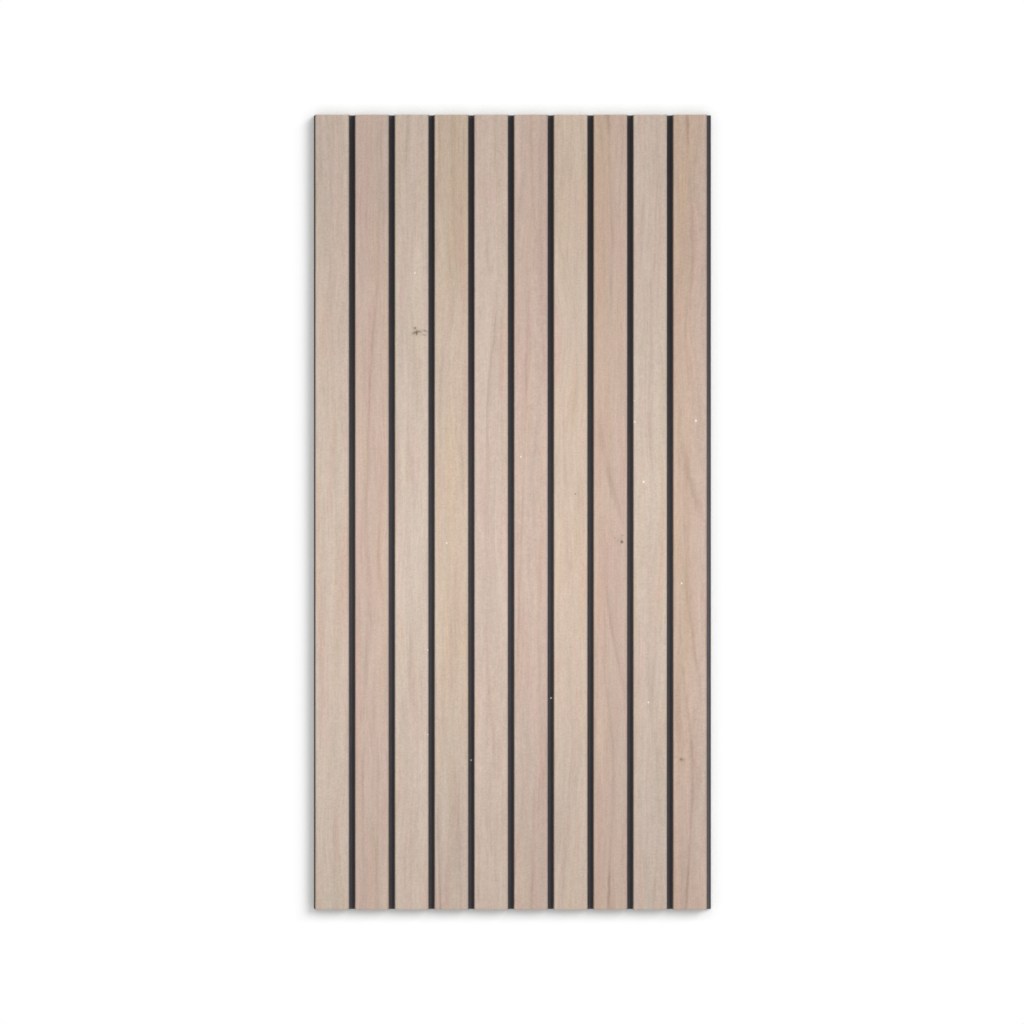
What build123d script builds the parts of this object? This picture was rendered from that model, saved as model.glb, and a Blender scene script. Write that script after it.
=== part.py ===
from build123d import *
import os
from math import radians, tan

# Foam wall panel: one soft foam sheet, pressed into a row of long flat slats with straight grooves
# between them, and cut square at all four edges. It lies on its back: the slats run along Y, the
# printed faces look up (+Z), and the origin is the middle of the flat back.

# Driving dimensions, in millimetres and degrees
PANEL_LENGTH = 600.0
SLAT_COUNT = 10
# The slat and groove widths are taken at the slat faces, before the shoulders are rounded.
SLAT_WIDTH = 25.5
GROOVE_WIDTH = 4.5
# The left edge keeps this much of a groove. The right edge keeps the rest of it, so that two
# panels set side by side show one more groove of the same width at their seam.
LEFT_LIP_WIDTH = 1.2
# The foam left under the grooves, and how far the slat faces stand above it.
WEB_THICKNESS = 2.5
SLAT_HEIGHT = 4.5
# How far the groove walls lean back from upright.
WALL_DRAFT = 6.0
SHOULDER_RADIUS = 1.0
FOOT_RADIUS = 0.6

# A rounding may take up at most this share of the narrowest flat that it cuts into.
LARGEST_ROUNDING_SHARE = 0.9

# Derived dimensions
SLAT_PITCH = SLAT_WIDTH + GROOVE_WIDTH
PANEL_WIDTH = SLAT_COUNT * SLAT_PITCH
PANEL_THICKNESS = WEB_THICKNESS + SLAT_HEIGHT
WALL_RUN = SLAT_HEIGHT * tan(radians(WALL_DRAFT))
RIGHT_LIP_WIDTH = GROOVE_WIDTH - LEFT_LIP_WIDTH
LEFT_EDGE = -PANEL_WIDTH / 2
RIGHT_EDGE = PANEL_WIDTH / 2
# How much of each neighbouring flat a rounding of unit radius takes up at a drafted corner.
ROUNDING_REACH = tan(radians((90.0 - WALL_DRAFT) / 2))


def slat_corners(index):
    """The four corners of one slat before rounding: left foot, left shoulder, right shoulder, right foot."""
    left = LEFT_EDGE + LEFT_LIP_WIDTH + index * SLAT_PITCH
    right = left + SLAT_WIDTH
    return [
        (left - WALL_RUN, WEB_THICKNESS),
        (left, PANEL_THICKNESS),
        (right, PANEL_THICKNESS),
        (right + WALL_RUN, WEB_THICKNESS),
    ]


def limited_radius(radius, flat_width):
    """The radius, or the largest one whose rounding still leaves some of the flat."""
    return min(radius, LARGEST_ROUNDING_SHARE * flat_width / ROUNDING_REACH)


def pressed_section():
    """The panel's section across the slats, drawn with X across and Y as the height above the back."""
    corners = [(LEFT_EDGE, 0), (LEFT_EDGE, WEB_THICKNESS)]
    for index in range(SLAT_COUNT):
        corners += slat_corners(index)
    corners += [(RIGHT_EDGE, WEB_THICKNESS), (RIGHT_EDGE, 0)]
    section = make_face(Polyline(*corners, close=True))

    # Half of a groove floor or slat face is free for each of the two roundings at its sides.
    groove_floor = GROOVE_WIDTH - 2 * WALL_RUN
    narrowest_floor = min(groove_floor / 2, LEFT_LIP_WIDTH - WALL_RUN, RIGHT_LIP_WIDTH - WALL_RUN)
    foot_radius = limited_radius(FOOT_RADIUS, narrowest_floor)
    shoulder_radius = limited_radius(SHOULDER_RADIUS, SLAT_WIDTH / 2)

    # The first and last corners at the height of the web are the lips' outer edges, which stay sharp.
    feet = section.vertices().group_by(Axis.Y)[1].sort_by(Axis.X)[1:-1]
    section = fillet(feet, foot_radius)
    shoulders = section.vertices().group_by(Axis.Y)[-1]
    return fillet(shoulders, shoulder_radius)


def foam_panel():
    """The section carried along the slats, half of the length to each side of the middle."""
    return extrude(Plane.XZ * pressed_section(), amount=PANEL_LENGTH / 2, both=True)


os.makedirs("parts", exist_ok=True)
export_step(foam_panel(), "parts/foam_panel.step")
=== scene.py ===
import math

import bpy
import numpy as np
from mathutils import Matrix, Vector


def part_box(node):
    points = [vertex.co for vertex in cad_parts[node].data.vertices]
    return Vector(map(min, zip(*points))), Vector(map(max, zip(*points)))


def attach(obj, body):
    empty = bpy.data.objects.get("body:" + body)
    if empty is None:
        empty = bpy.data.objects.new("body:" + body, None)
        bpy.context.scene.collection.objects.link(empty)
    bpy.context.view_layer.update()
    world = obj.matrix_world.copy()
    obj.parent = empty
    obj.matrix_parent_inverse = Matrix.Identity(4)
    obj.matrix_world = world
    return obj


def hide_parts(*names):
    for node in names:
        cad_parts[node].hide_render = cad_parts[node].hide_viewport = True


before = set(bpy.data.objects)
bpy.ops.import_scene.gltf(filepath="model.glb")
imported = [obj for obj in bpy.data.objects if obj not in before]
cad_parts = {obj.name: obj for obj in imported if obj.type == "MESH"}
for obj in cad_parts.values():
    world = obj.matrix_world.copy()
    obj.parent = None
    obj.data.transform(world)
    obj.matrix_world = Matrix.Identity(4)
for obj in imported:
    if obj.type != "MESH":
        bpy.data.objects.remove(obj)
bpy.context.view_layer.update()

# The look of the foam wall panel. One closed mesh stands for the pressed sheet: it follows the same
# section as the solid and adds what pressing and cutting leave on soft foam. Its face carries a
# wood print on the slats and a charcoal film in the grooves, and its back and cut edges are bare foam.
# Lengths on the panel are in millimetres until its mesh is made, and those of the stage in metres.

MM = 0.001
NODE = "foam_panel"
BODY = "root"

# Overall size, from the frame
LOW, HIGH = (np.array(corner, float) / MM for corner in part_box(NODE))
WIDTH, LENGTH, THICKNESS = HIGH - LOW
LEFT_EDGE, BOTTOM_EDGE, BACK = LOW
RIGHT_EDGE, TOP_EDGE, FACE = HIGH

# The pressed section, as in the solid
SLAT_COUNT = 10
GROOVE_WIDTH = 4.5
LEFT_LIP_WIDTH = 1.2
WEB_THICKNESS = 2.5
WALL_DRAFT = 6.0
SHOULDER_RADIUS = 1.0
FOOT_RADIUS = 0.6
SLAT_PITCH = WIDTH / SLAT_COUNT
SLAT_WIDTH = SLAT_PITCH - GROOVE_WIDTH
WALL_RUN = (THICKNESS - WEB_THICKNESS) * math.tan(math.radians(WALL_DRAFT))
ROUNDING_REACH = math.tan(math.radians((90.0 - WALL_DRAFT) / 2))

# How finely the section and the length are divided
FACE_STEPS = 18
SHOULDER_STEPS = 5
WALL_STEPS = 3
FOOT_STEPS = 3
FLOOR_STEPS = 3
ROW_SPACING = 3.0
END_ROWS = (0.0, 0.35, 0.9, 1.8)
CUT_LEVELS = (0.86, 0.66, 0.44, 0.22)
BACK_COLUMNS = 30
BACK_ROWS = 40
SHARP_ANGLE = 40.0

# Unevenness of the soft sheet under the ideal section: depth, size across, size along, and a seed. The grain
# is pressed into the slats' faces, which lie above the height ON_FACE, and the pitting into the grooves.
SHEET_WAVES = [(0.10, 46.0, 83.0, 1), (0.05, 17.0, 31.0, 2)]
PRESSED_GRAIN = [(0.05, 3.1, 44.0, 3), (0.04, 1.5, 13.0, 4)]
GROOVE_PITTING = [(0.05, 1.3, 4.2, 5)]
KNIFE_MARKS = [(0.12, 1.7, 900.0, 6)]
ON_FACE = FACE - 0.5 * SHOULDER_RADIUS
LEAST_DEPTH = 0.02
NOISE_LATTICE = 512
# How far the cut rolls the ends of the face down, and over what length, and the open cells of a cut edge
ROLLED_DEPTH = 0.15
ROLLED_LENGTH = END_ROWS[2]
CELL_DEPTH = 0.22
CELL_SIZE = 0.9
CELL_SEED = 20

# The screen's curve: a straight start, and a power of the rest
CURVE_START = 0.04045
CURVE_SLOPE = 12.92
CURVE_OFFSET = 0.055
CURVE_POWER = 2.4
BRIGHTEST = 255


def from_srgb(red, green, blue):
    """A colour given as it looks on a screen, from 0 to 255, as the linear values that shaders use."""
    values = np.array([red, green, blue]) / BRIGHTEST
    straight = values / CURVE_SLOPE
    curved = ((values + CURVE_OFFSET) / (1 + CURVE_OFFSET)) ** CURVE_POWER
    return tuple(np.where(values <= CURVE_START, straight, curved))


# Colours of the print, named by what they look like
GREIGE = from_srgb(208, 190, 175)
PALE = from_srgb(211, 194, 179)
SHELL = from_srgb(212, 192, 178)
CREAM = from_srgb(214, 193, 175)
STRAW = from_srgb(211, 191, 172)
BLUSH = from_srgb(210, 187, 173)
ROSE = from_srgb(206, 183, 169)
CLAY = from_srgb(206, 181, 164)
TAN = from_srgb(204, 179, 158)
OCHRE = from_srgb(203, 182, 161)
MAUVE = from_srgb(200, 177, 165)
ASH = from_srgb(202, 185, 172)
DRIFT = from_srgb(206, 186, 172)
CHARCOAL = (0.078, 0.0725, 0.080)
BARE_FOAM = from_srgb(232, 229, 222)
WHITE_SPECK = from_srgb(246, 240, 232)
KNOT_OLIVE = from_srgb(66, 52, 32)
KNOT_RED = from_srgb(80, 48, 38)

# The print on each slat, from left to right: its main tint, and one or two grain lines. A line has the side
# to which it fades out (1 is right and -1 left), and points of share of the length from the top, share of
# the width from the left, darkness and breadth.
SLAT_PRINTS = [
    (GREIGE, [
        (1, [(0.0, 0.50, 0.3, 1.5), (0.2, 0.46, 0.2, 1.5), (0.5, 0.62, 0.2, 1.5), (1.0, 0.52, 0.2, 1.5)]),
    ]),
    (ROSE, [
        (1, [
            (0.0, 0.60, 0.3, 1.2), (0.12, 0.66, 0.4, 1.2), (0.20, 0.68, 0.6, 1.0), (0.28, 0.53, 0.95, 1.0),
            (0.36, 0.41, 0.9, 1.0), (0.50, 0.34, 0.6, 1.3), (0.62, 0.37, 0.5, 1.3), (0.75, 0.30, 0.3, 1.3),
            (0.80, 0.64, 0.0, 1.0), (0.87, 0.66, 0.6, 1.0), (0.93, 0.66, 0.8, 1.0), (1.0, 0.63, 0.7, 1.0)]),
        (-1, [
            (0.0, 0.80, 0.5, 1.2), (0.08, 0.76, 0.5, 1.2), (0.14, 0.75, 0.0, 1.2), (0.45, 0.75, 0.0, 1.5),
            (0.55, 0.72, 0.4, 1.5), (0.65, 0.70, 0.0, 1.5), (0.77, 0.26, 0.0, 1.2), (0.81, 0.26, 0.7, 1.0),
            (0.86, 0.25, 0.8, 1.0), (0.91, 0.25, 0.5, 1.2), (1.0, 0.28, 0.4, 1.2)]),
    ]),
    (PALE, [
        (1, [(0.0, 0.40, 0.1, 1.5), (0.3, 0.36, 0.2, 1.5), (0.62, 0.45, 0.3, 1.5), (1.0, 0.30, 0.2, 1.5)]),
        (1, [(0.0, 0.40, 0.5, 1.5), (0.05, 0.30, 0.7, 1.3), (0.10, 0.25, 0.0, 1.3)]),
    ]),
    (STRAW, [
        (1, [
            (0.0, 0.14, 0.8, 1.0), (0.08, 0.11, 0.9, 1.0), (0.16, 0.07, 0.7, 1.0), (0.22, 0.08, 0.0, 1.0),
            (0.27, 0.90, 0.0, 1.5), (0.34, 0.87, 0.5, 1.5), (0.44, 0.82, 0.4, 1.5), (0.50, 0.80, 0.0, 1.5),
            (0.54, 0.42, 0.0, 1.5), (0.62, 0.45, 0.5, 1.5), (0.72, 0.50, 0.4, 1.5), (0.80, 0.50, 0.0, 1.5),
            (0.86, 0.10, 0.0, 1.0), (0.91, 0.10, 0.9, 1.0), (1.0, 0.17, 1.0, 1.0)]),
        (-1, [
            (0.0, 0.55, 0.5, 2.0), (0.10, 0.60, 0.5, 2.0), (0.20, 0.62, 0.0, 2.0), (0.80, 0.70, 0.0, 1.2),
            (0.88, 0.71, 0.7, 1.2), (0.93, 0.74, 0.6, 1.2), (1.0, 0.80, 0.6, 1.2)]),
    ]),
    (SHELL, [
        (1, [
            (0.0, 0.62, 0.3, 1.2), (0.14, 0.72, 0.3, 1.2), (0.21, 0.70, 0.5, 1.0), (0.28, 0.57, 0.85, 1.0),
            (0.35, 0.40, 0.75, 1.0), (0.50, 0.37, 0.3, 1.5), (0.68, 0.36, 0.4, 1.5), (0.85, 0.66, 0.4, 1.2),
            (1.0, 0.60, 0.4, 1.5)]),
    ]),
    (BLUSH, [
        (-1, [
            (0.0, 0.50, 0.5, 1.3), (0.10, 0.56, 0.6, 1.3), (0.18, 0.66, 0.3, 1.2), (0.22, 0.40, 0.2, 1.0),
            (0.30, 0.38, 0.8, 0.8), (0.42, 0.33, 0.8, 0.8), (0.52, 0.24, 0.7, 1.0), (0.62, 0.14, 0.8, 1.0),
            (0.74, 0.08, 0.6, 1.0), (0.80, 0.06, 0.0, 1.0), (0.84, 0.58, 0.0, 1.5), (0.90, 0.60, 0.5, 1.5),
            (0.96, 0.54, 0.9, 1.2), (1.0, 0.52, 0.7, 1.2)]),
        (1, [(0.0, 0.75, 0.4, 1.5), (0.12, 0.80, 0.5, 1.5), (0.30, 0.78, 0.0, 1.5), (1.0, 0.78, 0.0, 1.5)]),
    ]),
    (CREAM, [
        (1, [
            (0.0, 0.10, 0.3, 1.2), (0.14, 0.06, 0.4, 1.2), (0.30, 0.80, 0.0, 1.2), (0.40, 0.30, 0.4, 1.5),
            (0.55, 0.40, 0.4, 1.5), (0.80, 0.55, 0.3, 1.5), (1.0, 0.20, 0.3, 1.5)]),
    ]),
    (CLAY, [
        (1, [
            (0.0, 0.43, 2.2, 1.1), (0.018, 0.43, 2.0, 1.1), (0.035, 0.45, 0.5, 1.2), (0.10, 0.50, 0.5, 1.2),
            (0.14, 0.54, 0.8, 1.2), (0.17, 0.57, 0.8, 1.2), (0.21, 0.53, 0.7, 1.0), (0.24, 0.50, 0.2, 1.0),
            (0.30, 0.30, 0.0, 1.5), (0.36, 0.18, 0.0, 1.5), (0.40, 0.20, 0.6, 1.8), (0.46, 0.47, 1.0, 2.2),
            (0.49, 0.68, 0.8, 2.2), (0.51, 0.88, 0.4, 2.0), (0.53, 0.97, 0.0, 1.5), (0.66, 0.22, 0.0, 1.0),
            (0.70, 0.29, 0.4, 1.2), (0.73, 0.40, 0.6, 1.2), (0.78, 0.53, 0.7, 1.2), (0.82, 0.58, 0.7, 1.2),
            (0.85, 0.57, 0.6, 1.2), (0.89, 0.52, 0.5, 1.2), (0.93, 0.48, 0.4, 1.0), (0.95, 0.465, 1.0, 0.9),
            (0.965, 0.45, 2.2, 0.9), (0.985, 0.435, 2.2, 0.9), (1.0, 0.43, 1.2, 0.9)]),
        (1, [
            (0.54, 0.28, 0.0, 1.2), (0.58, 0.33, 0.4, 1.4), (0.61, 0.42, 0.7, 1.2), (0.65, 0.53, 0.9, 1.2),
            (0.67, 0.63, 0.9, 1.2), (0.695, 0.77, 0.8, 1.2), (0.715, 0.85, 0.7, 1.2), (0.74, 0.92, 0.3, 1.2),
            (0.76, 0.96, 0.0, 1.2)]),
    ]),
    (PALE, [
        (1, [
            (0.0, 0.70, 0.2, 1.5), (0.17, 0.72, 0.4, 1.5), (0.20, 0.52, 0.4, 1.5), (0.40, 0.52, 0.3, 1.5),
            (0.70, 0.40, 0.2, 1.5), (0.85, 0.78, 0.4, 1.2), (0.90, 0.78, 0.2, 1.2), (0.94, 0.65, 0.2, 1.2),
            (0.97, 0.63, 1.0, 1.2), (1.0, 0.60, 0.5, 1.2)]),
    ]),
    (CLAY, [
        (-1, [
            (0.0, 0.43, 1.2, 1.1), (0.01, 0.43, 2.0, 1.1), (0.025, 0.44, 1.8, 1.1), (0.04, 0.46, 0.5, 1.2),
            (0.10, 0.50, 0.3, 1.2), (0.15, 0.57, 0.5, 1.2), (0.17, 0.58, 0.5, 1.2), (0.20, 0.56, 0.4, 1.2),
            (0.235, 0.52, 0.3, 1.2), (0.26, 0.50, 0.1, 1.2), (0.31, 0.30, 0.0, 1.5), (0.36, 0.18, 0.0, 1.5),
            (0.40, 0.20, 0.6, 1.8), (0.42, 0.30, 0.9, 2.2), (0.47, 0.58, 1.0, 2.4), (0.496, 0.785, 0.7, 2.2),
            (0.51, 0.89, 0.3, 2.0), (0.53, 0.97, 0.0, 1.2), (0.66, 0.20, 0.0, 1.0), (0.70, 0.29, 0.5, 0.9),
            (0.745, 0.44, 0.6, 1.2), (0.774, 0.52, 0.8, 1.2), (0.80, 0.58, 0.9, 1.1), (0.838, 0.60, 0.9, 1.1),
            (0.867, 0.555, 0.8, 1.1), (0.90, 0.52, 0.7, 1.1), (0.944, 0.465, 0.9, 1.0),
            (0.955, 0.44, 2.0, 1.0), (0.98, 0.415, 2.0, 1.0), (1.0, 0.40, 1.0, 1.0)]),
        (-1, [
            (0.54, 0.45, 0.0, 1.4), (0.58, 0.42, 0.5, 1.6), (0.607, 0.45, 0.7, 1.4), (0.64, 0.54, 0.9, 1.3),
            (0.66, 0.60, 0.9, 1.3), (0.685, 0.67, 0.9, 1.2), (0.70, 0.76, 0.7, 1.2), (0.72, 0.81, 0.4, 1.2),
            (0.75, 0.88, 0.0, 1.2)]),
    ]),
]
LINES_PER_SLAT = 2
# How many rows of the mesh a bend of the line is smoothed over
LINE_SMOOTHING = 15

# Soft patches of another tint: slat, share of the length from the top, share of the width from the left,
# half length and half width as such shares, tint, and how much of it shows in the middle.
WASHES = [
    (0, 0.08, 0.20, 0.12, 0.40, ASH, 0.7),
    (0, 0.08, 0.60, 0.12, 0.22, ROSE, 0.5),
    (0, 0.24, 0.65, 0.14, 0.18, ROSE, 0.4),
    (0, 0.55, 0.85, 0.08, 0.15, ROSE, 0.4),
    (0, 0.75, 0.30, 0.12, 0.30, BLUSH, 0.5),
    (0, 0.90, 0.60, 0.16, 0.90, PALE, 0.9),
    (1, 0.05, 0.75, 0.08, 0.30, ASH, 0.5),
    (1, 0.08, 0.15, 0.12, 0.40, MAUVE, 0.7),
    (1, 0.50, 0.80, 0.18, 0.30, CLAY, 0.5),
    (1, 0.92, 0.80, 0.12, 0.45, DRIFT, 0.9),
    (2, 0.55, 0.20, 0.10, 0.18, SHELL, 0.5),
    (2, 0.08, 0.30, 0.14, 0.60, GREIGE, 0.9),
    (2, 0.90, 0.70, 0.14, 0.60, SHELL, 0.4),
    (3, 0.08, 0.65, 0.13, 0.50, OCHRE, 1.0),
    (3, 0.16, 0.70, 0.07, 0.30, TAN, 0.5),
    (3, 0.36, 0.95, 0.12, 0.18, BLUSH, 0.6),
    (3, 0.30, 0.25, 0.12, 0.40, GREIGE, 0.5),
    (3, 0.64, 0.70, 0.14, 0.35, OCHRE, 0.4),
    (3, 0.92, 0.50, 0.14, 0.90, ASH, 0.9),
    (4, 0.05, 0.35, 0.12, 0.60, GREIGE, 0.8),
    (4, 0.38, 0.75, 0.12, 0.30, ROSE, 0.25),
    (4, 0.58, 0.30, 0.12, 0.30, ROSE, 0.4),
    (4, 0.94, 0.60, 0.12, 0.80, GREIGE, 0.3),
    (5, 0.10, 0.60, 0.18, 0.70, ROSE, 0.9),
    (5, 0.26, 0.95, 0.14, 0.35, MAUVE, 0.3),
    (5, 0.62, 0.85, 0.18, 0.30, MAUVE, 0.3),
    (5, 0.90, 0.85, 0.14, 0.35, MAUVE, 0.9),
    (5, 0.88, 0.25, 0.14, 0.35, ASH, 0.8),
    (6, 0.06, 0.50, 0.12, 0.90, STRAW, 0.8),
    (6, 0.24, 0.50, 0.08, 0.60, PALE, 0.4),
    (6, 0.90, 0.50, 0.16, 0.90, GREIGE, 0.9),
    (7, 0.07, 0.15, 0.14, 0.35, TAN, 1.0),
    (7, 0.12, 0.88, 0.20, 0.38, ROSE, 0.9),
    (7, 0.24, 0.15, 0.10, 0.30, TAN, 0.2),
    (7, 0.45, 0.85, 0.10, 0.35, ROSE, 0.9),
    (7, 0.62, 0.60, 0.10, 0.30, MAUVE, 0.6),
    (7, 0.80, 0.85, 0.16, 0.35, ASH, 0.6),
    (7, 0.92, 0.35, 0.12, 0.40, MAUVE, 0.5),
    (8, 0.08, 0.40, 0.12, 0.60, GREIGE, 0.7),
    (8, 0.12, 0.75, 0.12, 0.25, BLUSH, 0.8),
    (8, 0.25, 0.60, 0.08, 0.22, ROSE, 0.3),
    (8, 0.64, 0.50, 0.12, 0.40, ROSE, 0.5),
    (8, 0.88, 0.60, 0.20, 0.90, ASH, 0.6),
    (9, 0.10, 0.12, 0.22, 0.38, TAN, 1.0),
    (9, 0.15, 0.90, 0.22, 0.32, ROSE, 0.9),
    (9, 0.50, 0.20, 0.16, 0.38, TAN, 0.7),
    (9, 0.50, 0.90, 0.18, 0.30, ROSE, 0.9),
    (9, 0.70, 0.20, 0.12, 0.30, TAN, 0.5),
    (9, 0.76, 0.90, 0.14, 0.32, ROSE, 0.9),
    (9, 0.92, 0.45, 0.12, 0.25, MAUVE, 0.6),
    (9, 0.93, 0.90, 0.12, 0.30, GREIGE, 0.7),
]

# The noises of the print are drawn out along the slats: width, length, and a number that sets each apart.
# Every slat has stretches of its own of them, and the grain wanders from side to side by WANDER_REACH.
PRINT_SEED = 11
SEED_SPREAD = 200.0
WANDER = (40.0, 110.0, 1.0)
WANDER_REACH = 7.0
# Streaks of the print: width, length, number, and how far they lighten or darken
PRINT_STREAKS = [
    (7.0, 150.0, 3.0, 0.05),
    (2.2, 70.0, 7.0, 0.07),
    (1.0, 24.0, 11.0, 0.07),
    (3.0, 5.0, 14.0, 0.06),
    (1.4, 1.3, 13.0, 0.14),
]
# Coloured streaks: width, length, number, where they start and are full, and the change of red, green
# and blue
COLOUR_STREAKS = [
    (7.0, 90.0, 17.0, -0.1, 0.5, (-0.005, -0.065, -0.05)),
    (6.0, 110.0, 19.0, -0.1, 0.5, (0.00, -0.02, -0.07)),
    (5.0, 70.0, 23.0, -0.1, 0.5, (-0.06, -0.05, -0.055)),
    (1.6, 11.0, 25.0, 0.0, 0.5, (-0.01, -0.06, -0.03)),
    (1.8, 9.0, 27.0, 0.0, 0.5, (-0.04, -0.02, -0.06)),
]
# Faint growth lines: their noise, how far it is spread and folded back to make lines, where a line is full
# and ends, the patches in which the lines show, and their change
GROWTH = (16.0, 420.0, 29.0)
GROWTH_SPREAD = 6.0
GROWTH_FOLD = 0.5
GROWTH_LINE = (0.02, 0.16)
GROWTH_PATCHES = (9.0, 60.0, 30.0)
GROWTH_PATCH = (-0.2, 0.5)
GROWTH_CHANGE = (-0.06, -0.07, -0.08)
# A grain line: the patches in which it is weaker, the noise and detail that make its place unsteady, the
# half widths of its darkest part and of the whole, how its flush rises and falls beside it, and what the
# two change
LINE_PATCHES = (60.0, 30.0, 37.0)
LINE_PATCH = (-0.5, 0.2)
WEAKEST_LINE = 0.5
LINE_UNSTEADY = (8.0, 14.0, 31.0, 2.0)
LINE_CORE = 0.3
LINE_WIDTH = 1.7
FLUSH_RISE = (-1.0, 0.3)
FLUSH_FALL = (0.3, 5.5)
LINE_CHANGE = (-0.105, -0.125, -0.145)
FLUSH_CHANGE = (-0.055, -0.065, -0.055)

# Places across a groove, counted to the right from its middle, where something starts, is full, starts to
# fade and ends: the charcoal film, painted shade on the print beside it, and a painted highlight on the print
# to its right.
GROOVE_SIDE = GROOVE_WIDTH / 2
FILM_REACH = (-GROOVE_SIDE - 0.85, -GROOVE_SIDE + 0.75, GROOVE_SIDE - 0.95, GROOVE_SIDE + 0.05)
PAINTED_EDGE_SHADE_REACH = (-GROOVE_SIDE - 1.90, -GROOVE_SIDE + 0.20, GROOVE_SIDE - 0.20, GROOVE_SIDE + 1.30)
PAINTED_RIM_HIGHLIGHT_REACH = (GROOVE_SIDE + 0.50, GROOVE_SIDE + 1.40, GROOVE_SIDE + 2.00, GROOVE_SIDE + 4.50)
PAINTED_EDGE_SHADE_CHANGE = (-0.24, -0.23, -0.21)
PAINTED_RIM_HIGHLIGHT_CHANGE = (0.02, 0.02, 0.02)
# The charcoal covers the groove's sides too, a little less well, and fades out between these heights.
WALL_FADES = (FACE - 3.6, FACE - 1.4)
WALL_COVER = 0.85
# The edge of the charcoal isn't quite straight: length, number, detail and swing of its noise
FILM_EDGE_LENGTH = 6.0
FILM_EDGE_NUMBER = 9.0
FILM_EDGE_DETAIL = 2.0
FILM_EDGE_SWING = 0.12
# The groove floor is smoky. A painted highlight lies a little left of its middle, stronger towards the bottom
# of the panel, and painted shade darkens it at the foot of its right wall and towards the top of the panel.
SMOKE_WIDTH = 3.0
SMOKE_LENGTH = 21.0
SMOKE_NUMBER = 5.0
SMOKE_DETAIL = 3.0
PAINTED_SHINE_REACH = (-1.4, -0.8, -0.6, 0.2)
PAINTED_SHINE_FADES = (-160.0, 120.0)
PAINTED_SHINE_SMOKE = (-0.6, 0.4)
WEAKEST_PAINTED_SHINE = 0.4
PAINTED_SHINE_CHANGE = (0.40, 0.43, 0.52)
PAINTED_FOOT_SHADE = (-0.3, 1.1)
PAINTED_FOOT_SHADE_CHANGE = (-0.42, -0.47, -0.46)
PAINTED_SHADE_TOP = (-0.36, -0.36, -0.34)
SMOKE_CHANGE = (0.22, 0.20, 0.20)
# How far the print sits to the left of the pressed slats
PRINT_SHIFT = 0.10

# Marks on the print, as places on the panel in millimetres from its middle. Knots have half sizes across and
# along, a slant in degrees and a darkness.
KNOTS = [
    (KNOT_OLIVE, [
        ((-72.4, 135.5), (1.8, 1.8), 0.0, 1.0),
        ((-72.3, 135.3), (1.2, 3.2), 0.0, 0.9),
        ((-70.6, 136.3), (4.2, 1.7), -5.0, 0.58),
        ((-74.0, 135.2), (3.8, 1.6), 20.0, 0.58),
        ((-73.4, 138.9), (1.3, 1.6), 0.0, 0.8),
        ((-65.8, 136.8), (4.6, 1.2), -17.0, 0.55),
        ((-66.6, 133.7), (3.6, 1.1), -25.0, 0.45),
        ((-64.9, 133.9), (0.8, 1.6), 0.0, 0.4),
        ((127.3, -186.5), (2.4, 2.2), 0.0, 0.6),
        ((129.0, -186.7), (2.2, 0.9), 0.0, 0.45),
        ((124.4, -185.2), (3.4, 0.6), 0.0, 0.35),
        ((133.6, -180.7), (5.0, 0.5), 0.0, 0.3),
    ]),
    (KNOT_RED, [
        ((82.6, -22.5), (1.9, 1.9), 0.0, 0.85),
        ((83.2, -17.5), (1.7, 1.2), 0.0, 0.5),
        ((77.2, -19.5), (1.2, 1.7), 0.0, 0.45),
        ((80.1, -21.3), (1.0, 1.0), 0.0, 0.4),
        ((47.4, 13.8), (0.9, 0.9), 0.0, 0.8),
    ]),
]
KNOT_EDGES = (0.05, 0.8)
KNOT_SHARE = 0.78
# The print is darker round a knot: its middle and half sizes
KNOT_SHADES = [
    ((-71.0, 135.5), (8.0, 5.0)),
    ((81.0, -21.5), (5.0, 5.5)),
    ((128.6, -187.3), (4.6, 4.8)),
]
KNOT_SHADE_EDGES = (0.0, 0.9)
KNOT_SHADE = (-0.10, -0.09, -0.13)
# White specks: middle and half size
SPECK_EDGES = (0.1, 0.6)
SPECKS = [
    ((138.4, 69.0), 1.25),
    ((99.0, 22.9), 1.3),
    ((92.2, 68.1), 1.0),
    ((92.0, 84.0), 0.7),
    ((6.4, 41.8), 0.9),
    ((-73.6, 180.3), 0.9),
    ((127.6, -53.7), 0.9),
    ((102.6, -143.5), 0.9),
    ((-49.5, -23.3), 0.9),
    ((-63.8, -104.1), 0.6),
    ((-63.8, -167.7), 0.55),
    ((-31.2, -187.5), 0.9),
    ((29.2, -140.5), 1.0),
]

# Sheen and fine relief of the film and of the bare foam
MATT_SPECULAR = 0.25
FILM_ROUGHNESS = 0.58
FILM_ROUGH_STREAKS = (1.5, 20.0, 43.0)
FILM_ROUGH_SWING = 0.06
GROOVE_ROUGH_CHANGE = -0.08
FILM_RELIEF = (0.5, 7.0, 47.0)
FILM_RELIEF_MIDDLE = 0.5
FILM_RELIEF_DEPTH = 0.05
FOAM_CELLS_PER_MM = 1.3
FOAM_BLOTCHES_PER_MM = 0.05
FOAM_BLOTCH_DETAIL = 3.0
FOAM_TONE = 1.03
FOAM_CELL_TONE = -0.09
FOAM_BLOTCH_TONE = 0.03
FOAM_ROUGHNESS = 0.62
FOAM_CELL_ROUGHNESS = 0.1
FOAM_RELIEF_DEPTH = -0.12

# Sockets of a node that mixes two colours
MIX_SHARE = 0
MIX_FIRST = 6
MIX_SECOND = 7
MIX_RESULT = 2

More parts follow.
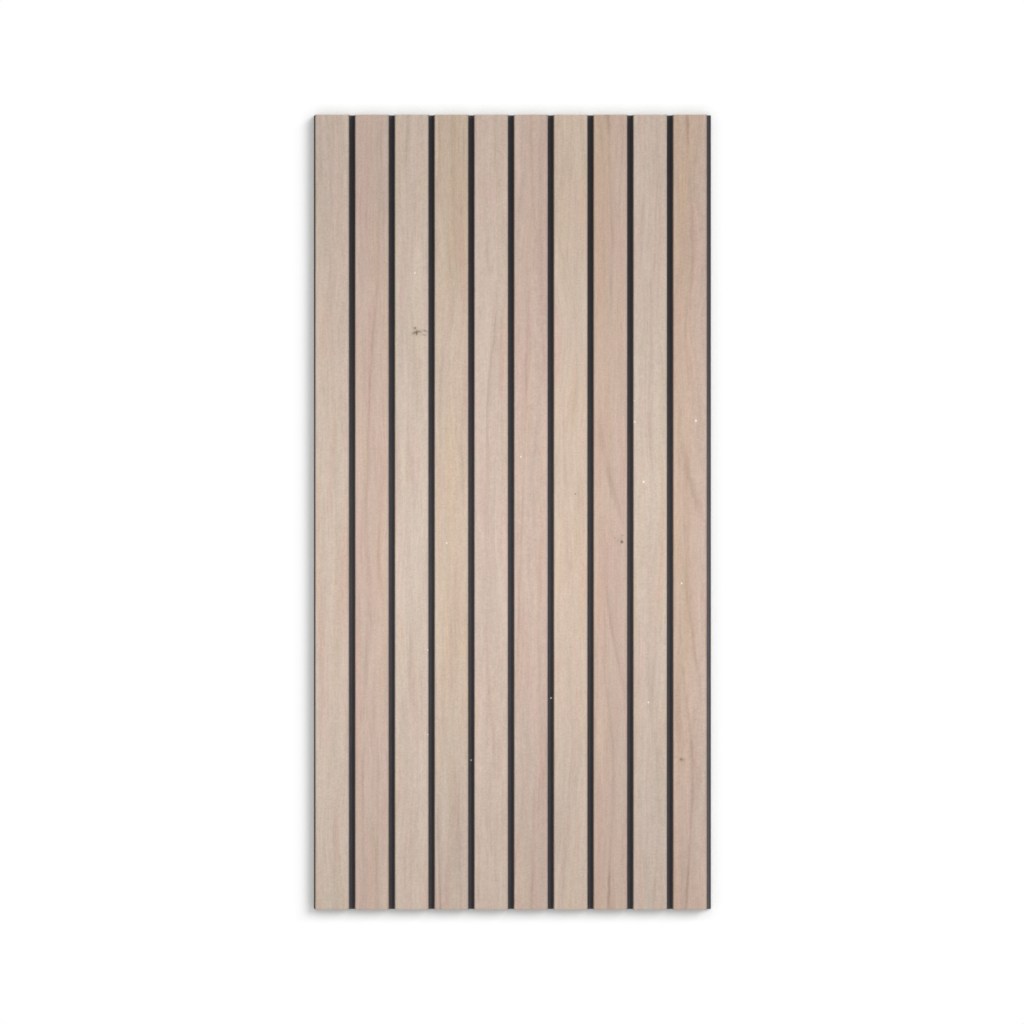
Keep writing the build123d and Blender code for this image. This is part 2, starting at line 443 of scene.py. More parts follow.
# Regions of the mesh, and where each lies in its map: left, bottom, right, top
FACE_REGION, BOTTOM_CUT, RIGHT_CUT, TOP_CUT, LEFT_CUT, BACK_REGION = range(6)
MAP_PLACES = {
    FACE_REGION: (0.005, 0.005, 0.700, 0.995),
    BACK_REGION: (0.712, 0.430, 0.992, 0.990),
    BOTTOM_CUT: (0.715, 0.010, 0.735, 0.410),
    TOP_CUT: (0.750, 0.010, 0.770, 0.410),
    LEFT_CUT: (0.785, 0.010, 0.805, 0.410),
    RIGHT_CUT: (0.820, 0.010, 0.840, 0.410),
}

# The stage, in metres and degrees, with the sensor in millimetres. The light of the world and of the sun is
# the brightness that each adds to a white surface lying flat. The overhead lamp's power is in watts.
FLOOR_SIZE = 12.0
FLOOR_HEIGHT = -0.0002
FLOOR_WHITE = 0.97
FLOOR_LIFT = 0.235
# Painted shade on the floor near the panel: how far it reaches, how dark it gets, and its samples
CONTACT_REACH = 0.011
PAINTED_CONTACT_SHADE = 0.8
CONTACT_SAMPLES = 4
WORLD_LIGHT = 0.445
SUN_LIGHT = 0.36
SUN_ANGLE = 34.0
SUN_SLOPE_X = 1.25
SUN_SLOPE_Y = 0.85
OVERHEAD_POWER = 0.40
OVERHEAD_SIZE = (0.9, 0.15)
OVERHEAD_Y = -0.030
OVERHEAD_HEIGHT = 0.30
CAMERA_DISTANCE = 2.20
SENSOR_WIDTH = 36.0
FRAME_WIDTH = 0.7725
CAMERA_X = -0.0003
CAMERA_Y = 0.0001


# Shape of the panel


def soft_noise(x, y, cell_x, cell_y, seed):
    """Smooth random values from 0 to 1 that change over about one cell, the same ones for the same seed."""
    lattice = np.random.default_rng(seed).random((NOISE_LATTICE, NOISE_LATTICE))
    u = (x - LEFT_EDGE) / cell_x
    v = (y - BOTTOM_EDGE) / cell_y
    column = np.floor(u).astype(int)
    row = np.floor(v).astype(int)
    u = u - column
    v = v - row
    u = u * u * (3 - 2 * u)
    v = v * v * (3 - 2 * v)
    here = column % NOISE_LATTICE
    there = (column + 1) % NOISE_LATTICE
    below = row % NOISE_LATTICE
    above = (row + 1) % NOISE_LATTICE
    low = lattice[here, below] * (1 - u) + lattice[there, below] * u
    high = lattice[here, above] * (1 - u) + lattice[there, above] * u
    return low * (1 - v) + high * v


def layered(layers, x, y):
    """The sum of several layers of soft noise, each with its depth, cell sizes and seed."""
    return sum(depth * soft_noise(x, y, across, along, seed) for depth, across, along, seed in layers)


def arc(centre, radius, start, end, steps, hollow=False):
    """Points round an arc between two angles in degrees, each with the way the surface faces there."""
    angles = np.radians(np.linspace(start, end, steps + 1))
    outward = np.stack([np.cos(angles), np.sin(angles)], axis=1)
    facing = -outward if hollow else outward
    return np.hstack([np.array(centre) + radius * outward, facing])


def slat_left(index):
    """Where the left side of a slat is, before its shoulder is rounded."""
    return LEFT_EDGE + LEFT_LIP_WIDTH + index * SLAT_PITCH


def slat_arcs(index):
    """The four roundings of one slat from left to right: foot, shoulder, shoulder, foot."""
    left = slat_left(index)
    right = left + SLAT_WIDTH
    shoulder_in = SHOULDER_RADIUS * ROUNDING_REACH
    foot_out = WALL_RUN + FOOT_RADIUS * ROUNDING_REACH
    shoulder_height = FACE - SHOULDER_RADIUS
    foot_height = BACK + WEB_THICKNESS + FOOT_RADIUS
    return [
        arc((left - foot_out, foot_height), FOOT_RADIUS, -90, -WALL_DRAFT, FOOT_STEPS, hollow=True),
        arc((left + shoulder_in, shoulder_height), SHOULDER_RADIUS, 180 - WALL_DRAFT, 90, SHOULDER_STEPS),
        arc((right - shoulder_in, shoulder_height), SHOULDER_RADIUS, 90, WALL_DRAFT, SHOULDER_STEPS),
        arc((right + foot_out, foot_height), FOOT_RADIUS, 180 + WALL_DRAFT, 270, FOOT_STEPS, hollow=True),
    ]


def between(start, end, steps):
    """Points of the straight stretch from one point to the next, without its two ends."""
    shares = np.linspace(0, 1, steps + 1)[1:-1, None]
    return start * (1 - shares) + end * shares


def section():
    """The face's section from the left lip to the right one: x, z and facing, and each point's slat."""
    floor = BACK + WEB_THICKNESS
    points = [np.array([[LEFT_EDGE, floor, 0.0, 1.0]])]
    slats = [np.zeros(1, int)]
    for index in range(SLAT_COUNT):
        steps_before = (FLOOR_STEPS, WALL_STEPS, FACE_STEPS, WALL_STEPS)
        for steps, rounding in zip(steps_before, slat_arcs(index)):
            stretch = between(points[-1][-1], rounding[0], steps)
            points += [stretch, rounding]
            slats += [np.full(len(stretch) + len(rounding), index)]
    edge = np.array([[RIGHT_EDGE, floor, 0.0, 1.0]])
    stretch = between(points[-1][-1], edge[0], FLOOR_STEPS)
    points += [stretch, edge]
    slats += [np.full(len(stretch) + 1, SLAT_COUNT - 1)]
    return np.vstack(points), np.concatenate(slats)


def row_places():
    """The places of the rows along the panel, closer together at the two cut ends."""
    inner = LENGTH / 2 - END_ROWS[-1] - ROW_SPACING
    middle = np.linspace(-inner, inner, round(2 * inner / ROW_SPACING) + 1)
    near_end = LENGTH / 2 - np.array(END_ROWS)
    return np.concatenate([-near_end, middle, near_end[::-1]])


def face_points(points, rows):
    """The places of the face's grid, with one row for each place along the panel."""
    x = np.broadcast_to(points[:, 0], (len(rows), len(points)))
    y = np.broadcast_to(rows[:, None], x.shape)
    pressed = np.where(points[:, 1] > ON_FACE, layered(PRESSED_GRAIN, x, y), layered(GROOVE_PITTING, x, y))
    depth = LEAST_DEPTH + layered(SHEET_WAVES, x, y) + pressed
    from_end = LENGTH / 2 - np.abs(y)
    rolled = ROLLED_DEPTH * np.clip(1 - from_end / ROLLED_LENGTH, 0, 1) ** 2
    raised = np.clip((points[:, 1] - BACK) / THICKNESS, 0, 1)
    z = points[:, 1] - depth * points[:, 3] - rolled * raised
    places = np.stack([x - depth * points[:, 2], y, z], axis=2)
    # The knife leaves the two ends slightly ragged.
    ragged = layered(KNIFE_MARKS, x, y)
    places[0, :, 1] += ragged[0]
    places[-1, :, 1] -= ragged[-1]
    return places


def grain_line(stops, down):
    """A grain line of a slat down the panel: its share of the width, its darkness and its breadth there."""
    stops = np.array(stops)
    across, dark, breadth = (np.interp(down, stops[:, 0], stops[:, column]) for column in (1, 2, 3))
    window = np.hanning(LINE_SMOOTHING)
    window /= window.sum()
    padded = np.pad(across, LINE_SMOOTHING // 2, mode="edge")
    return np.convolve(padded, window, mode="valid"), dark, breadth


def washed(tint, slat, down, across):
    """The tint of one slat over its grid of points, with the soft patches of other tints laid over it."""
    colours = np.broadcast_to(tint, (len(down), len(across), 3))
    for wash_slat, middle_down, middle_across, half_length, half_width, wash, strength in WASHES:
        if wash_slat == slat:
            along = ((down - middle_down) / half_length)[:, None]
            sideways = ((across - middle_across) / half_width)[None, :]
            share = strength * np.exp(-along ** 2 - sideways ** 2)[..., None]
            colours = colours * (1 - share) + np.array(wash) * share
    return colours


def print_facts(points, slats, rows):
    """What the print's nodes read at each point: its tint, its grain lines and a seed for its slat."""
    down = (TOP_EDGE - rows) / LENGTH
    shape = (len(rows), len(points))
    seeds = np.random.default_rng(PRINT_SEED).random(SLAT_COUNT)
    facts = {
        "slat_seed": np.broadcast_to(seeds[slats], shape),
        "slat_tint": np.ones(shape + (3,)),
    }
    for number in range(LINES_PER_SLAT):
        facts[f"line_offset_{number}"] = np.zeros(shape)
        facts[f"line_dark_{number}"] = np.zeros(shape)
    for slat, (tint, lines) in enumerate(SLAT_PRINTS):
        mine = slats == slat
        share = (points[mine, 0] - slat_left(slat)) / SLAT_WIDTH
        facts["slat_tint"][:, mine] = washed(tint, slat, down, share)
        for number, (fades_to, stops) in enumerate(lines):
            line, dark, breadth = grain_line(stops, down)
            offset = (share - line[:, None]) * SLAT_WIDTH
            facts[f"line_offset_{number}"][:, mine] = fades_to * offset / breadth[:, None]
            facts[f"line_dark_{number}"][:, mine] = dark[:, None]
    return facts


def quads(grid):
    """The faces between the rows and columns of a grid of vertex numbers."""
    corners = [grid[:-1, :-1], grid[:-1, 1:], grid[1:, 1:], grid[1:, :-1]]
    return np.stack(corners, axis=-1).reshape(-1, 4).tolist()


def rim_of(grid):
    """The vertex numbers round a grid's edge, anticlockwise from its first corner, and each step's side."""
    sides = [grid[0, :-1], grid[:-1, -1], grid[-1, :0:-1], grid[:0:-1, 0]]
    regions = np.repeat([BOTTOM_CUT, RIGHT_CUT, TOP_CUT, LEFT_CUT], [len(side) for side in sides])
    return np.concatenate(sides), regions


def inward_from(regions):
    """The way into the foam at each vertex of the rim, slanting at the four corners."""
    into = {BOTTOM_CUT: (0.0, 1.0), RIGHT_CUT: (-1.0, 0.0), TOP_CUT: (0.0, -1.0), LEFT_CUT: (1.0, 0.0)}
    ways = np.array([into[region] for region in regions])
    before = np.roll(ways, 1, axis=0)
    return np.where((ways == before).all(axis=1)[:, None], ways, ways + before)


def panel_shape():
    """The closed sheet: its vertices, its faces with their regions, and what the print's nodes read."""
    points, slats = section()
    rows = row_places()
    face_places = face_points(points, rows)
    places = [face_places.reshape(-1, 3)]
    face = np.arange(face_places.shape[0] * face_places.shape[1]).reshape(face_places.shape[:2])
    faces = quads(face)
    regions = [FACE_REGION] * len(faces)

    # Rings of vertices run down the four cut edges, with the open cells of the foam sunk into them.
    rim, rim_regions = rim_of(face)
    rim_places = places[0][rim]
    along = np.cumsum(np.linalg.norm(np.diff(rim_places[:, :2], axis=0, prepend=rim_places[:1, :2]), axis=1))
    rings = [rim]
    count = len(places[0])
    for number, level in enumerate(CUT_LEVELS):
        ring = rim_places.copy()
        ring[:, 2] = BACK + (rim_places[:, 2] - BACK) * level
        sunk = CELL_DEPTH * soft_noise(along, np.zeros_like(along), CELL_SIZE, 1.0, CELL_SEED + number)
        ring[:, :2] += inward_from(rim_regions) * sunk[:, None]
        places.append(ring)
        rings.append(np.arange(count, count + len(ring)))
        count += len(ring)
    for upper, lower in zip(rings, rings[1:]):
        corners = [lower, np.roll(lower, -1), np.roll(upper, -1), upper]
        faces += np.stack(corners, axis=1).tolist()
        regions += rim_regions.tolist()

    # The flat back keeps only some of the columns and rows, and many-sided faces join it to the last ring.
    kept_columns = np.linspace(0, len(points) - 1, BACK_COLUMNS + 1).round().astype(int)
    kept_rows = np.linspace(0, len(rows) - 1, BACK_ROWS + 1).round().astype(int)
    back_x, back_y = np.meshgrid(points[kept_columns, 0], rows[kept_rows])
    places.append(np.stack([back_x, back_y, np.full_like(back_x, BACK)], axis=2).reshape(-1, 3))
    back = np.arange(count, count + back_x.size).reshape(back_x.shape)
    faces += [quad[::-1] for quad in quads(back)]
    regions += [BACK_REGION] * (BACK_COLUMNS * BACK_ROWS)

    back_rim, _ = rim_of(back)
    kept_rim, kept_regions = rim_of(face[np.ix_(kept_rows, kept_columns)])
    position = {number: step for step, number in enumerate(rim.tolist())}
    starts = [position[number] for number in kept_rim.tolist()]
    ends = starts[1:] + [len(rim)]
    last_ring = np.append(rings[-1], rings[-1][0])
    for step, (start, end) in enumerate(zip(starts, ends)):
        upper = last_ring[start:end + 1][::-1].tolist()
        faces.append([int(back_rim[step]), int(back_rim[(step + 1) % len(back_rim)]), *upper])
        regions.append(int(kept_regions[step]))

    facts = print_facts(points, slats, rows)
    spread = np.linalg.norm(np.diff(points[:, :2], axis=0, prepend=points[:1, :2]), axis=1)
    facts["unrolled"] = np.broadcast_to(np.cumsum(spread), face.shape)
    return np.vstack(places), faces, np.array(regions), facts


def map_corners(mesh, regions, facts, places):
    """Gives every face its place in one square map: the unrolled face, the back, and strips for the cuts."""
    loop_vertex = np.empty(len(mesh.loops), int)
    mesh.loops.foreach_get("vertex_index", loop_vertex)
    sizes = np.empty(len(mesh.polygons), int)
    mesh.polygons.foreach_get("loop_total", sizes)
    loop_region = np.repeat(regions, sizes)
    x, y, z = places[loop_vertex].T
    unrolled = np.zeros(len(places))
    unrolled[:facts["unrolled"].size] = facts["unrolled"].ravel()
    along_x = (x - LEFT_EDGE) / WIDTH
    along_y = (y - BOTTOM_EDGE) / LENGTH
    up = (z - BACK) / THICKNESS
    spans = {
        FACE_REGION: (unrolled[loop_vertex] / unrolled.max(), along_y),
        BACK_REGION: (along_x, along_y),
        BOTTOM_CUT: (up, along_x),
        TOP_CUT: (up, along_x),
        LEFT_CUT: (up, along_y),
        RIGHT_CUT: (up, along_y),
    }
    corners = np.zeros((len(loop_vertex), 2))
    for region, (across, upward) in spans.items():
        left, bottom, right, top = MAP_PLACES[region]
        mine = loop_region == region
        corners[mine, 0] = left + (right - left) * across[mine]
        corners[mine, 1] = bottom + (top - bottom) * upward[mine]
    layer = mesh.uv_layers.new(name="OFBake")
    layer.uv.foreach_set("vector", corners.ravel().astype(np.float32))


def add_object(name, data, location=(0.0, 0.0, 0.0)):
    """Puts a new object with this data into the scene."""
    made = bpy.data.objects.new(name, data)
    made.location = location
    bpy.context.scene.collection.objects.link(made)
    return made


def panel_object(film, foam):
    """The panel's mesh in the scene, with its two materials and its facts."""
    places, faces, regions, facts = panel_shape()
    mesh = bpy.data.meshes.new("printed_foam_panel")
    mesh.from_pydata((places * MM).tolist(), [], faces)
    map_corners(mesh, regions, facts, places)
    for name in [name for name in facts if name not in ("slat_tint", "unrolled")]:
        values = np.zeros(len(places), np.float32)
        values[:facts[name].size] = facts[name].ravel()
        mesh.attributes.new(name, "FLOAT", "POINT").data.foreach_set("value", values)
    tint = np.ones((len(places), 3), np.float32)
    tint[:facts["slat_tint"].size // 3] = facts["slat_tint"].reshape(-1, 3)
    mesh.attributes.new("slat_tint", "FLOAT_VECTOR", "POINT").data.foreach_set("vector", tint.ravel())
    mesh.materials.append(film)
    mesh.materials.append(foam)
    mesh.polygons.foreach_set("material_index", (regions != FACE_REGION).astype(np.int32))
    mesh.polygons.foreach_set("use_smooth", np.ones(len(regions), bool))
    mesh.set_sharp_from_angle(angle=math.radians(SHARP_ANGLE))
    mesh.update()
    return add_object("printed_foam_panel", mesh)


# Materials


class Pattern:
    """One material in the making: each method adds a node and gives back its output."""

    def __init__(self, name):
        self.material = bpy.data.materials.new(name)
        self.material.use_nodes = True
        self.nodes = self.material.node_tree.nodes
        self.links = self.material.node_tree.links
        self.surface = self.nodes["Principled BSDF"]

    def fill(self, socket, value):
        """Joins an output to a socket, or sets the socket to a plain value."""
        if isinstance(value, bpy.types.NodeSocket):
            self.links.new(value, socket)
        else:
            socket.default_value = value

    def node(self, kind, inputs, **settings):
        made = self.nodes.new(kind)
        for name, value in settings.items():
            setattr(made, name, value)
        for name, value in inputs.items():
            self.fill(made.inputs[name], value)
        return made

    def maths(self, operation, *values):
        return self.node("ShaderNodeMath", dict(enumerate(values)), operation=operation).outputs[0]

    def vector_maths(self, operation, *values):
        return self.node("ShaderNodeVectorMath", dict(enumerate(values)), operation=operation).outputs[0]

    def scaled(self, vector, amount):
        made = self.node("ShaderNodeVectorMath", {0: vector, "Scale": amount}, operation="SCALE")
        return made.outputs[0]

    def joined(self, x, y, z):
        return self.node("ShaderNodeCombineXYZ", {"X": x, "Y": y, "Z": z}).outputs[0]

    def ramp(self, value, low, high, low_gives=0.0, high_gives=1.0):
        """A smooth step from one value to another."""
        inputs = {
            "Value": value,
            "From Min": low,
            "From Max": high,
            "To Min": low_gives,
            "To Max": high_gives,
        }
        return self.node("ShaderNodeMapRange", inputs, interpolation_type="SMOOTHSTEP").outputs[0]

    def plateau(self, value, rise_starts, rise_ends, fall_starts, fall_ends):
        """0, rising to 1 and falling to 0 again."""
        rise = self.ramp(value, rise_starts, rise_ends)
        return self.maths("MULTIPLY", rise, self.ramp(value, fall_starts, fall_ends, 1.0, 0.0))

    def noise(self, vector, detail):
        """Soft noise from about -1 to 1, with cells of about one unit."""
        inputs = {"Vector": vector, "Scale": 1.0, "Detail": detail}
        made = self.node("ShaderNodeTexNoise", inputs, noise_dimensions="3D")
        return self.maths("MULTIPLY_ADD", made.outputs[0], 2.0, -1.0)

    def fact(self, name, output="Fac"):
        return self.node("ShaderNodeAttribute", {}, attribute_name=name).outputs[output]

    def place(self):
        """The place on the panel in millimetres: as one vector, and as its three parts."""
        metres = self.node("ShaderNodeTexCoord", {}).outputs["Object"]
        whole = self.scaled(metres, 1 / MM)
        parts = self.node("ShaderNodeSeparateXYZ", {0: whole})
        return whole, parts.outputs[0], parts.outputs[1], parts.outputs[2]

    def mixed(self, share, first, second):
        inputs = {MIX_SHARE: share, MIX_FIRST: first, MIX_SECOND: second}
        return self.node("ShaderNodeMix", inputs, data_type="RGBA").outputs[MIX_RESULT]

    def shifted(self, colour, mask, change):
        """The colour, changed by these shares of itself where the mask is 1."""
        shift = self.scaled(change, mask)
        return self.vector_maths("MULTIPLY", colour, self.vector_maths("ADD", shift, (1.0, 1.0, 1.0)))

    def spot(self, flat, centre, radii, slant=0.0):
        """1 at the centre of an oval spot on the face, falling to 0 at its edge."""
        inputs = {
            "Vector": flat,
            "Location": (*centre, 0.0),
            "Rotation": (0.0, 0.0, math.radians(slant)),
            "Scale": (*radii, 1.0),
        }
        mapped = self.node("ShaderNodeMapping", inputs, vector_type="TEXTURE").outputs[0]
        return self.node("ShaderNodeTexGradient", {0: mapped}, gradient_type="SPHERICAL").outputs[1]

    def strongest(self, values):
        """The largest of several values at each place."""
        found = values[0]
        for value in values[1:]:
            found = self.maths("MAXIMUM", found, value)
        return found

    def bump(self, height, depth):
        made = self.node("ShaderNodeBump", {"Height": height, "Distance": depth * MM, "Strength": 1.0})
        return made.outputs[0]

    def finish(self, **inputs):
        """Fills the surface's own sockets and gives back the material."""
        for name, value in inputs.items():
            self.fill(self.surface.inputs[name.replace("_", " ")], value)
        return self.material


def printed_film():
    """The wood print of the slats and the charcoal of the grooves, on one matt film."""
    p = Pattern("printed_film")
    _, x, y, z = p.place()
    seed = p.maths("MULTIPLY", p.fact("slat_seed"), SEED_SPREAD)
    first_groove = slat_left(0) - GROOVE_SIDE - PRINT_SHIFT
    groove = p.maths("WRAP", p.maths("SUBTRACT", x, first_groove), SLAT_PITCH / 2, -SLAT_PITCH / 2)

    def streaks(width, length, number, detail=1.0, wander=None):
        """Noise drawn out along the slats, with a stretch of its own for each slat."""
        across = p.maths("ADD", x, wander) if wander is not None else x
        drawn_out = p.joined(
            p.maths("DIVIDE", across, width),
            p.maths("DIVIDE", y, length),
            p.maths("ADD", seed, number),
        )
        return p.noise(drawn_out, detail)

    # The grain runs along the slat and wanders slowly from side to side.
    wander = p.maths("MULTIPLY", streaks(*WANDER), WANDER_REACH)
    tone = 1.0
    for width, length, number, swing in PRINT_STREAKS:
        tone = p.maths("MULTIPLY_ADD", streaks(width, length, number, wander=wander), swing, tone)
    wood = p.scaled(p.fact("slat_tint", "Vector"), tone)
    for width, length, number, low, high, change in COLOUR_STREAKS:
        mask = p.ramp(streaks(width, length, number, wander=wander), low, high)
        wood = p.shifted(wood, mask, change)

    # Faint growth lines follow the wandering grain.
    growth = p.maths("MULTIPLY", streaks(*GROWTH, wander=wander), GROWTH_SPREAD)
    growth = p.ramp(p.maths("PINGPONG", growth, GROWTH_FOLD), *GROWTH_LINE, 1.0, 0.0)
    growth = p.maths("MULTIPLY", growth, p.ramp(streaks(*GROWTH_PATCHES), *GROWTH_PATCH))
    wood = p.shifted(wood, growth, GROWTH_CHANGE)

    # The grain lines have a flush on the side where they fade out.
    patchy = p.ramp(streaks(*LINE_PATCHES), *LINE_PATCH, WEAKEST_LINE, 1.0)
    unsteady = streaks(*LINE_UNSTEADY)
    for number in range(LINES_PER_SLAT):
        offset = p.maths("ADD", p.fact(f"line_offset_{number}"), unsteady)
        dark = p.maths("MULTIPLY", p.fact(f"line_dark_{number}"), patchy)
        line = p.ramp(p.maths("ABSOLUTE", offset), LINE_CORE, LINE_WIDTH, 1.0, 0.0)
        wood = p.shifted(wood, p.maths("MULTIPLY", line, dark), LINE_CHANGE)
        beside = p.plateau(offset, *FLUSH_RISE, *FLUSH_FALL)
        flush = p.maths("MULTIPLY", beside, p.maths("MINIMUM", dark, 1.0))
        wood = p.shifted(wood, flush, FLUSH_CHANGE)

    # Painted shade darkens the print where it bends into a groove; a painted highlight pales it some way to
    # its right.
    wood = p.shifted(wood, p.plateau(groove, *PAINTED_EDGE_SHADE_REACH), PAINTED_EDGE_SHADE_CHANGE)
    wood = p.shifted(wood, p.plateau(groove, *PAINTED_RIM_HIGHLIGHT_REACH), PAINTED_RIM_HIGHLIGHT_CHANGE)

    # Knots and white specks
    flat = p.joined(x, y, 0.0)
    shades = p.strongest([p.spot(flat, centre, radii) for centre, radii in KNOT_SHADES])
    wood = p.shifted(wood, p.ramp(shades, *KNOT_SHADE_EDGES), KNOT_SHADE)
    for knot_colour, marks in KNOTS:
        spots = [
            p.maths("MULTIPLY", p.spot(flat, centre, radii, slant), darkness)
            for centre, radii, slant, darkness in marks
        ]
        knots = p.ramp(p.strongest(spots), *KNOT_EDGES, 0.0, KNOT_SHARE)
        wood = p.mixed(knots, wood, (*knot_colour, 1.0))
    specks = p.strongest([p.spot(flat, centre, (size, size)) for centre, size in SPECKS])

    # The charcoal fades in over the shoulders and covers the walls and the floor of the groove.
    smoke = p.joined(p.maths("DIVIDE", x, SMOKE_WIDTH), p.maths("DIVIDE", y, SMOKE_LENGTH), SMOKE_NUMBER)
    smoky = p.noise(smoke, SMOKE_DETAIL)
    charcoal = p.shifted(CHARCOAL, smoky, SMOKE_CHANGE)
    # Painted shade darkens the charcoal towards the top of the panel and at the foot of the groove's right
    # wall, and a painted highlight lies along the floor a little left of its middle, stronger towards the
    # bottom.
    charcoal = p.shifted(charcoal, p.ramp(y, 0.0, TOP_EDGE), PAINTED_SHADE_TOP)
    charcoal = p.shifted(charcoal, p.ramp(groove, *PAINTED_FOOT_SHADE), PAINTED_FOOT_SHADE_CHANGE)
    lower = p.ramp(y, *PAINTED_SHINE_FADES, 1.0, 0.0)
    painted_shine = p.maths("MULTIPLY", p.plateau(groove, *PAINTED_SHINE_REACH), lower)
    painted_shine = p.maths("MULTIPLY", painted_shine, p.ramp(smoky, *PAINTED_SHINE_SMOKE, WEAKEST_PAINTED_SHINE, 1.0))
    charcoal = p.shifted(charcoal, painted_shine, PAINTED_SHINE_CHANGE)
    uneven = p.joined(x, p.maths("DIVIDE", y, FILM_EDGE_LENGTH), FILM_EDGE_NUMBER)
    edge = p.maths("MULTIPLY_ADD", p.noise(uneven, FILM_EDGE_DETAIL), FILM_EDGE_SWING, groove)
    on_wall = p.ramp(z, *WALL_FADES, WALL_COVER, 0.0)
    in_groove = p.strongest([p.plateau(edge, *FILM_REACH), on_wall])
    colour = p.mixed(in_groove, wood, charcoal)
    colour = p.mixed(p.ramp(specks, *SPECK_EDGES), colour, (*WHITE_SPECK, 1.0))

    rough = p.maths("MULTIPLY_ADD", streaks(*FILM_ROUGH_STREAKS), FILM_ROUGH_SWING, FILM_ROUGHNESS)
    rough = p.maths("MULTIPLY_ADD", in_groove, GROOVE_ROUGH_CHANGE, rough)
    height = p.maths("MULTIPLY_ADD", streaks(*FILM_RELIEF), FILM_RELIEF_MIDDLE, FILM_RELIEF_MIDDLE)
    return p.finish(
        Base_Color=colour,
        Roughness=rough,
        Specular_IOR_Level=MATT_SPECULAR,
        Normal=p.bump(height, FILM_RELIEF_DEPTH),
    )


def bare_foam():
    """The foam where it is cut, and its back: off-white, with fine open cells."""
    p = Pattern("bare_foam")
    whole, _, _, _ = p.place()
    inputs = {"Vector": whole, "Scale": FOAM_CELLS_PER_MM}
    cells = p.node("ShaderNodeTexVoronoi", inputs, feature="F1").outputs["Distance"]
    blotches = p.noise(p.scaled(whole, FOAM_BLOTCHES_PER_MM), FOAM_BLOTCH_DETAIL)
    tone = p.maths("MULTIPLY_ADD", cells, FOAM_CELL_TONE, FOAM_TONE)
    tone = p.maths("MULTIPLY_ADD", blotches, FOAM_BLOTCH_TONE, tone)
    colour = p.scaled(BARE_FOAM, tone)
    rough = p.maths("MULTIPLY_ADD", cells, FOAM_CELL_ROUGHNESS, FOAM_ROUGHNESS)
    return p.finish(
        Base_Color=colour,
        Roughness=rough,
        Specular_IOR_Level=MATT_SPECULAR,
        Normal=p.bump(cells, FOAM_RELIEF_DEPTH),
    )


# Stage, lamps and camera


def seen_directly(nodes, links):
    """1 for rays that show a surface straight, mirrored or through glass, and 0 for those that only light."""
    path = nodes.new("ShaderNodeLightPath")
    found = path.outputs["Is Camera Ray"]
    for name in ("Is Glossy Ray", "Is Transmission Ray"):
        either = nodes.new("ShaderNodeMath")
        either.operation = "MAXIMUM"
        links.new(found, either.inputs[0])
        links.new(path.outputs[name], either.inputs[1])
        found = either.outputs[0]
    return found


def lay_floor():
    """A wide white floor that keeps the panel's shadow and otherwise looks as white as the background."""
    half = FLOOR_SIZE / 2
    mesh = bpy.data.meshes.new("floor")
    corners = [(-half, -half), (half, -half), (half, half), (-half, half)]
    mesh.from_pydata([(x, y, FLOOR_HEIGHT) for x, y in corners], [], [(0, 1, 2, 3)])
    material = bpy.data.materials.new("white_floor")
    material.use_nodes = True
    nodes, links = material.node_tree.nodes, material.node_tree.links
    nodes.clear()
    # Painted shade: the floor's colour darkens a little close to the panel, on all sides, by ambient
    # occlusion.
    contact = nodes.new("ShaderNodeAmbientOcclusion")
    contact.samples = CONTACT_SAMPLES
    contact.inputs["Distance"].default_value = CONTACT_REACH
    painted_shade = nodes.new("ShaderNodeMapRange")
    links.new(contact.outputs["AO"], painted_shade.inputs["Value"])
    painted_shade.inputs["To Min"].default_value = 1.0 - PAINTED_CONTACT_SHADE
    painted_shade.inputs["To Max"].default_value = 1.0
    white = nodes.new("ShaderNodeMix")
    white.data_type = "RGBA"
    links.new(painted_shade.outputs[0], white.inputs[MIX_SHARE])
    white.inputs[MIX_FIRST].default_value = (0.0, 0.0, 0.0, 1.0)
    white.inputs[MIX_SECOND].default_value = (FLOOR_WHITE, FLOOR_WHITE, FLOOR_WHITE, 1.0)
    diffuse = nodes.new("ShaderNodeBsdfDiffuse")
    links.new(white.outputs[MIX_RESULT], diffuse.inputs["Color"])
    lift = nodes.new("ShaderNodeMath")
    lift.operation = "MULTIPLY"
    links.new(seen_directly(nodes, links), lift.inputs[0])
    lift.inputs[1].default_value = FLOOR_LIFT
    glow = nodes.new("ShaderNodeEmission")
    links.new(white.outputs[MIX_RESULT], glow.inputs["Color"])
    links.new(lift.outputs[0], glow.inputs["Strength"])
    both = nodes.new("ShaderNodeAddShader")
    links.new(diffuse.outputs[0], both.inputs[0])
    links.new(glow.outputs[0], both.inputs[1])
    output = nodes.new("ShaderNodeOutputMaterial")
    links.new(both.outputs[0], output.inputs["Surface"])
    mesh.materials.append(material)
    add_object("floor", mesh)


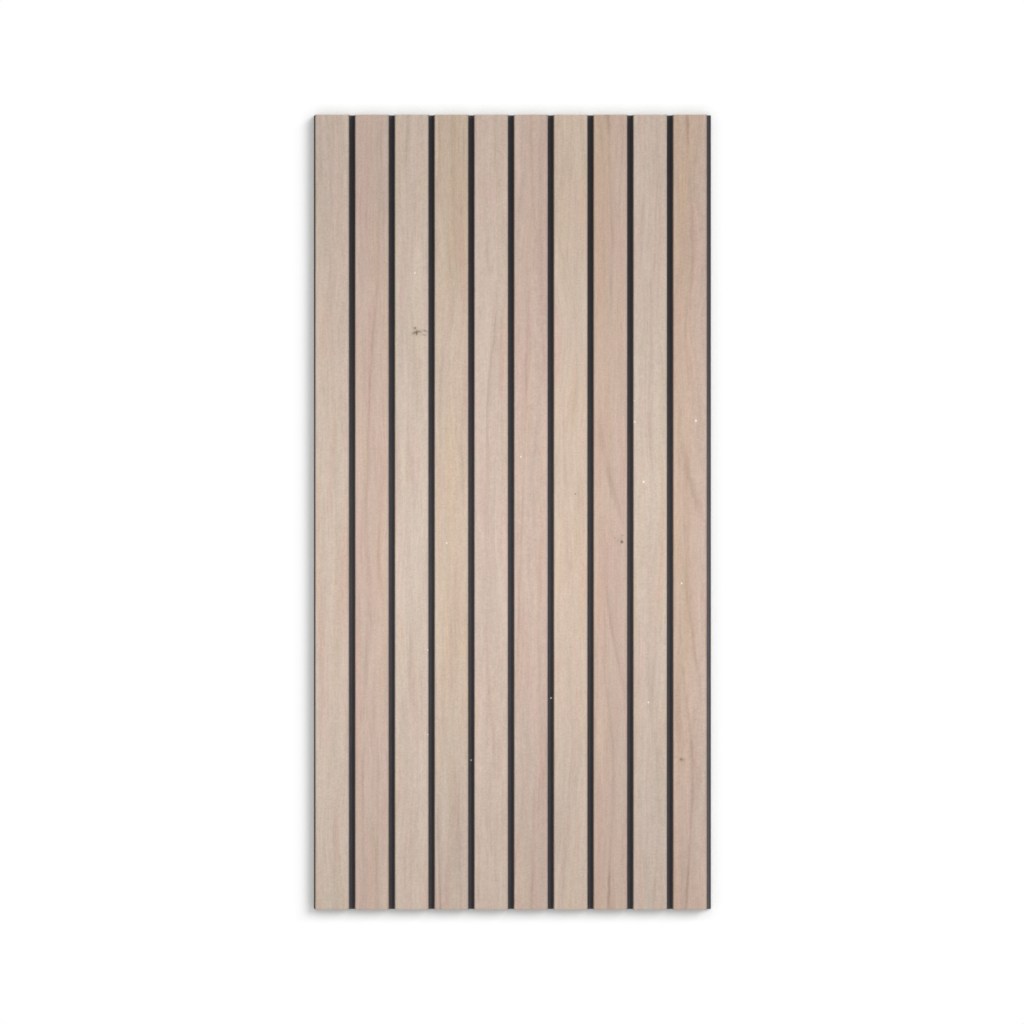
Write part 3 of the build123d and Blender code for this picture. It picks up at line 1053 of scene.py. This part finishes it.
def light_world():
    """White all round where it is seen, and a weaker white where it only lights."""
    world = bpy.data.worlds.new("studio")
    bpy.context.scene.world = world
    world.use_nodes = True
    nodes, links = world.node_tree.nodes, world.node_tree.links
    strength = nodes.new("ShaderNodeMapRange")
    links.new(seen_directly(nodes, links), strength.inputs["Value"])
    strength.inputs["To Min"].default_value = WORLD_LIGHT
    strength.inputs["To Max"].default_value = 1.0
    background = nodes["Background"]
    background.inputs["Color"].default_value = (1.0, 1.0, 1.0, 1.0)
    links.new(strength.outputs[0], background.inputs["Strength"])


def light_sun():
    """The soft main light, from beyond the top right corner of the panel."""
    data = bpy.data.lights.new("soft_sun", "SUN")
    data.angle = math.radians(SUN_ANGLE)
    slope = math.hypot(SUN_SLOPE_X, SUN_SLOPE_Y)
    height_share = 1 / math.hypot(1, slope)
    data.energy = SUN_LIGHT * math.pi / height_share
    sun = add_object("soft_sun", data, (SUN_SLOPE_X, SUN_SLOPE_Y, 1.0))
    tilt = math.atan(slope)
    turn = math.atan2(SUN_SLOPE_Y, SUN_SLOPE_X)
    sun.rotation_euler = (0.0, tilt, turn)


def light_overhead(panel):
    """A weak lamp over the panel alone, which leaves its two ends a little darker than its middle."""
    data = bpy.data.lights.new("overhead", "AREA")
    data.shape = "RECTANGLE"
    data.size, data.size_y = OVERHEAD_SIZE
    data.energy = OVERHEAD_POWER
    lamp = add_object("overhead", data, (0.0, OVERHEAD_Y, OVERHEAD_HEIGHT))
    lamp.visible_camera = False
    lit = bpy.data.collections.new("lit_by_overhead")
    lit.objects.link(panel)
    lamp.light_linking.receiver_collection = lit


def place_camera():
    """Straight above the panel, as in the photograph."""
    data = bpy.data.cameras.new("camera")
    data.sensor_width = SENSOR_WIDTH
    data.lens = SENSOR_WIDTH * CAMERA_DISTANCE / FRAME_WIDTH
    data.dof.use_dof = False
    camera = add_object("camera", data, (CAMERA_X, CAMERA_Y, FACE * MM + CAMERA_DISTANCE))
    bpy.context.scene.camera = camera


panel = panel_object(printed_film(), bare_foam())
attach(panel, BODY)
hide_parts(NODE)

lay_floor()
light_world()
light_sun()
light_overhead(panel)
place_camera()
bpy.context.scene.view_settings.view_transform = "Standard"
